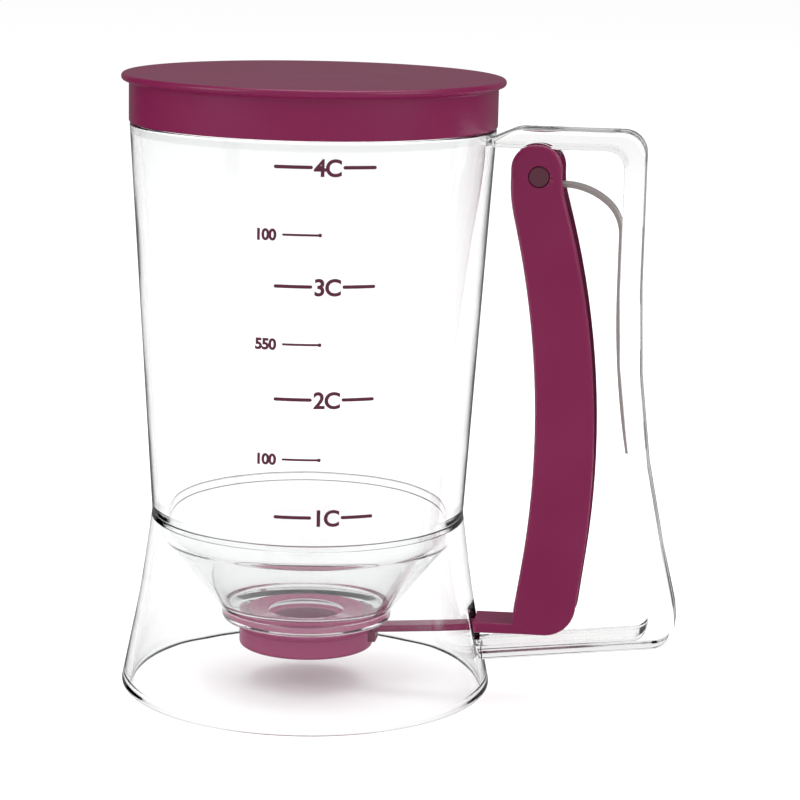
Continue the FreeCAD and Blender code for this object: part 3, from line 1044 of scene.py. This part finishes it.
@dataclass
class Handle:
    """The clear strip handle with its two ears, and the steel leaf that pushes the trigger back."""

    vessel: Vessel
    width: float = 14.6
    edge_round: float = 1.2
    root: float = 51.0
    weld_gap: float = 0.08
    arm_under: float = 167.0
    arm_top: float = 172.6
    root_top: float = 168.3
    root_slope_end: float = 61.0
    root_slope_round: float = 8.0
    shoulder_round: float = 6.8
    shoulder_inner_round: float = 5.0
    grip_outer: float = 98.7
    grip_inner: float = 92.6
    lean_outer_up: float = 86.5
    lean_inner_up: float = 103.5
    lean_outer_round: float = 330.0
    lean_inner_round: float = 269.0
    heel_outer: float = 112.8
    heel_inner: float = 104.75
    heel_outer_up: float = 29.0
    heel_inner_up: float = 30.1
    heel_round: float = 28.0
    toe_under_up: float = 18.94
    toe_top_up: float = 22.3
    toe_round: float = 7.2
    toe_inner_round: float = 5.0
    foot_under_up: float = 11.15
    foot_top_up: float = 15.64
    overlap: float = 1.0
    pivot: tuple = (68.0, 158.9)
    pin_bore: float = 2.05
    ear_radius: float = 5.0
    ear_inner: float = 3.9
    ear_outer: float = 5.4
    ear_round: float = 4.95
    head_space_radius: float = 7.75
    head_space_middle: tuple = (67.25, 161.1)
    head_space_gap: float = 0.1
    leaf_swelling: float = 0.4

    def _outline(self) -> list[Corner]:
        """The strip from the side: top arm, grip that leans out to a heel, and rising bottom arm.

        Returns:
            The outline's corners.
        """
        return [
            Corner(self.root, self.root_top),
            Corner(self.root_slope_end, self.arm_top, self.root_slope_round),
            Corner(self.grip_outer, self.arm_top, self.shoulder_round),
            Corner(self.grip_outer, self.lean_outer_up, self.lean_outer_round),
            Corner(self.heel_outer, self.heel_outer_up, self.heel_round),
            Corner(self.heel_outer, self.toe_under_up, self.toe_round),
            Corner(self.root, self.foot_under_up),
            Corner(self.root, self.foot_top_up),
            Corner(self.heel_inner, self.toe_top_up, self.toe_inner_round),
            Corner(self.heel_inner, self.heel_inner_up, self.heel_round),
            Corner(self.grip_inner, self.lean_inner_up, self.lean_inner_round),
            Corner(self.grip_inner, self.arm_under, self.shoulder_inner_round),
            Corner(self.root, self.arm_under),
        ]

    def make_strip(self) -> bpy.types.Object:
        """Extrudes the strip, adds the ears, and cuts it to the vessel, the trigger's head and the pin.

        Returns:
            The strip as one piece.
        """
        half = self.width / 2
        across, up = self.pivot
        strip = Workshop.plate("handle_strip", self._outline(), -half, half)
        Workshop.combine(strip, self.vessel.envelope(self.weld_gap), Joint.CUT)
        Workshop.round_sides(strip, self.edge_round)
        ear_corners = [
            Corner(across - self.ear_radius - self.overlap, self.arm_under + self.overlap),
            Corner(across + self.ear_radius + self.overlap, self.arm_under + self.overlap),
            Corner(across + self.ear_radius, up - self.ear_radius, self.ear_round),
            Corner(across - self.ear_radius, up - self.ear_radius, self.ear_round),
        ]
        for inner, outer in ((self.ear_inner, self.ear_outer), (-self.ear_outer, -self.ear_inner)):
            Workshop.combine(strip, Workshop.plate("ear", ear_corners, inner, outer), Joint.FUSE)
        head = (self.head_space_radius, *self.head_space_middle)
        near = self.ear_outer + self.head_space_gap
        far = half + self.overlap
        for start, end in ((-far, -near), (near, far)):
            Workshop.combine(strip, Workshop.bar_across("head_space", *head, start, end), Joint.CUT)
        bore = Workshop.bar_across("pin_bore", self.pin_bore, across, up, -half, half)
        Workshop.combine(strip, bore, Joint.CUT)
        return strip

    def build(self) -> None:
        """Makes the strip and polishes the leaf."""
        Workshop.finish(self.make_strip(), Body.VESSEL, Slot.CLEAR, HANDLE_CLEAR_PAINTED_SHADE, "handle_frame")
        leaf = Workshop.polished_copy("spring_leaf", "return_spring", swelling=self.leaf_swelling)
        Workshop.finish(leaf, Body.VESSEL, Slot.SPRING, STRIP_STEEL, "return_spring")


@dataclass
class Trigger:
    """The berry squeeze trigger with its valve arm, and the pin that it swings on."""

    vessel: Vessel
    width: float = 14.6
    cad_width: float = 20.0
    edge_round: float = 1.1
    stop_gap: float = 0.3
    cad_arm_run: tuple = (21.9, 64.35)
    cad_arm_under: float = 10.0
    cad_arm_top: float = 30.0
    block_width: float = 14.4
    block_run: tuple = (48.0, 66.0)
    block_under: tuple = (19.9, 20.35)
    block_top: tuple = (23.3, 23.6)
    arm_width: float = 6.6
    arm_run: tuple = (20.6, 55.0)
    arm_under: tuple = (17.3, 20.0)
    arm_top: tuple = (19.3, 22.1)
    arm_round: float = 0.5

    def make_trigger(self) -> bpy.types.Object:
        """Narrows the CAD trigger and puts a block and a flat arm to the cup in place of its arm.

        Returns:
            The trigger as one piece.
        """
        trigger = Workshop.polished_copy("trigger_moulding", "trigger", self.width / self.cad_width)
        under = (self.cad_arm_under, self.cad_arm_under)
        top = (self.cad_arm_top, self.cad_arm_top)
        space = Workshop.bar_along("cad_arm_space", self.cad_arm_run, under, top, self.cad_width)
        Workshop.combine(trigger, space, Joint.CUT)
        half = self.block_width / 2
        block = Workshop.bar_along("arm_block", self.block_run, self.block_under, self.block_top, half)
        Workshop.combine(block, self.vessel.envelope(self.stop_gap), Joint.CUT)
        Workshop.round_sides(block, self.edge_round)
        arm = Workshop.bar_along("arm", self.arm_run, self.arm_under, self.arm_top, self.arm_width / 2)
        Workshop.round_sides(arm, self.arm_round)
        Workshop.combine(trigger, block, Joint.FUSE)
        Workshop.combine(trigger, arm, Joint.FUSE)
        return trigger

    def build(self) -> None:
        """Makes the trigger, and polishes the pin and the pin's retainer from their CAD shapes."""
        narrowing = self.width / self.cad_width
        Workshop.finish(self.make_trigger(), Body.LEVER, Slot.BERRY, BERRY, "trigger")
        pin = Workshop.polished_copy("pivot_pin_turned", "pivot_pin", narrowing)
        Workshop.finish(pin, Body.LEVER, Slot.PIN, PIN_STEEL_PAINTED_REFLECTION, "pivot_pin")
        washer = Workshop.polished_copy("star_washer", "pin_retainer", narrowing)
        Workshop.finish(washer, Body.LEVER, Slot.PIN, PIN_STEEL_PAINTED_REFLECTION, "pin_retainer")


@dataclass
class Valve:
    """The cup on the end of the trigger's arm, with the seal that shuts the outlet."""

    seal_pressure: float = 0.08

    def build(self) -> None:
        """Polishes the cup, the seal and the screw from their CAD shapes."""
        cup = Workshop.polished_copy("valve_cup_moulding", "valve_cup")
        Workshop.finish(cup, Body.LEVER, Slot.BERRY, CUP_BERRY_PAINTED_VEIL, "valve_cup")
        seal = Workshop.polished_copy("seal_moulding", "valve_seal", rise=self.seal_pressure)
        Workshop.finish(seal, Body.LEVER, Slot.SILICONE, SILICONE, "valve_seal")
        screw = Workshop.polished_copy("cup_screw_turned", "cup_screw")
        Workshop.finish(screw, Body.LEVER, Slot.PIN, PIN_STEEL_PAINTED_REFLECTION, "cup_screw")


@dataclass(frozen=True)
class Softbox:
    """One area light, aimed at the middle of the object."""

    name: str
    place: tuple
    size: tuple
    power: float
    lights_matt: bool = True


@dataclass
class Studio:
    """Pale floor, even white surroundings, softboxes and the camera."""

    floor_radius: float = 14.0
    floor_steps: int = 96
    sky: tuple = (1.0, 1.0, 1.0, 1.0)
    sky_strength: float = 1.02
    camera_azimuth_degrees: float = 10.0
    camera_distance: float = 0.7832
    camera_height: float = 0.2465
    pitch_degrees: float = 11.41
    yaw_degrees: float = 2.0
    roll_degrees: float = 1.26
    lens: float = 118.8
    sensor_width: float = 36.0
    aim: tuple = (0.02, 0.0, 0.095)
    softboxes: tuple = (
        Softbox("left softbox", (-1.1, -0.9, 0.75), (0.9, 0.9), 6.0),
        Softbox("right softbox", (1.3, -0.6, 0.7), (0.8, 0.8), 5.0),
        Softbox("top softbox", (0.1, 0.25, 1.5), (1.2, 1.2), 11.0),
        Softbox("back card", (0.0, 2.2, 0.05), (4.4, 2.6), 7.0, lights_matt=False),
    )

    def lay_floor(self) -> None:
        """Lays a large round floor at the height that the foot ring stands on."""
        shape = bmesh.new()
        bmesh.ops.create_circle(shape, cap_ends=True, segments=self.floor_steps, radius=self.floor_radius)
        floor = Workshop.object_from("floor", shape)
        floor.data.materials.append(FLOOR.material())
        floor.visible_glossy = False

    def fill_sky(self) -> None:
        """Surrounds the scene with even white light."""
        world = bpy.data.worlds.new("studio")
        bpy.context.scene.world = world
        world.use_nodes = True
        background = world.node_tree.nodes["Background"]
        background.inputs["Color"].default_value = self.sky
        background.inputs["Strength"].default_value = self.sky_strength
        world.cycles_visibility.glossy = False

    def hang_softboxes(self) -> None:
        """Hangs the softboxes and turns each one to the object."""
        for box in self.softboxes:
            light = bpy.data.lights.new(box.name, "AREA")
            light.shape = "RECTANGLE"
            light.size, light.size_y = box.size
            light.energy = box.power
            lamp = bpy.data.objects.new(box.name, light)
            bpy.context.scene.collection.objects.link(lamp)
            lamp.location = box.place
            lamp.rotation_euler = (Vector(self.aim) - lamp.location).to_track_quat("-Z", "Y").to_euler()
            lamp.visible_camera = False
            lamp.visible_transmission = False
            lamp.visible_diffuse = box.lights_matt

    def place_camera(self) -> None:
        """Sets the camera where the photograph was taken from."""
        azimuth = math.radians(self.camera_azimuth_degrees)
        pitch = math.radians(self.pitch_degrees)
        yaw = math.radians(self.yaw_degrees)
        level_forward = Vector((math.sin(yaw), math.cos(yaw), 0))
        forward = level_forward * math.cos(pitch) - Vector((0, 0, math.sin(pitch)))
        level_right = Vector((math.cos(yaw), -math.sin(yaw), 0))
        level_up = level_right.cross(forward)
        roll = math.radians(self.roll_degrees)
        right = level_right * math.cos(roll) + level_up * math.sin(roll)
        up = level_up * math.cos(roll) - level_right * math.sin(roll)
        turn = Matrix((right, up, -forward)).transposed()
        stance = Matrix.Rotation(azimuth, 3, "Z") @ turn
        place = Vector((
            self.camera_distance * math.sin(azimuth),
            -self.camera_distance * math.cos(azimuth),
            self.camera_height,
        ))
        data = bpy.data.cameras.new("camera")
        data.lens = self.lens
        data.sensor_width = self.sensor_width
        data.dof.use_dof = False
        camera = bpy.data.objects.new("camera", data)
        bpy.context.scene.collection.objects.link(camera)
        camera.matrix_world = Matrix.Translation(place) @ stance.to_4x4()
        bpy.context.scene.camera = camera

    def build(self) -> None:
        """Sets up everything round the object."""
        bpy.context.scene.view_settings.view_transform = "Standard"
        self.lay_floor()
        self.fill_sky()
        self.hang_softboxes()
        self.place_camera()
        log.info("studio is set up")


def main() -> None:
    logging.basicConfig(level=logging.INFO, format="%(name)s: %(message)s")
    vessel = Vessel()
    for assembly in (vessel, PrintedScale(vessel), Lid(), Handle(vessel), Trigger(vessel), Valve(), Studio()):
        assembly.build()


if __name__ == "__main__":
    main()
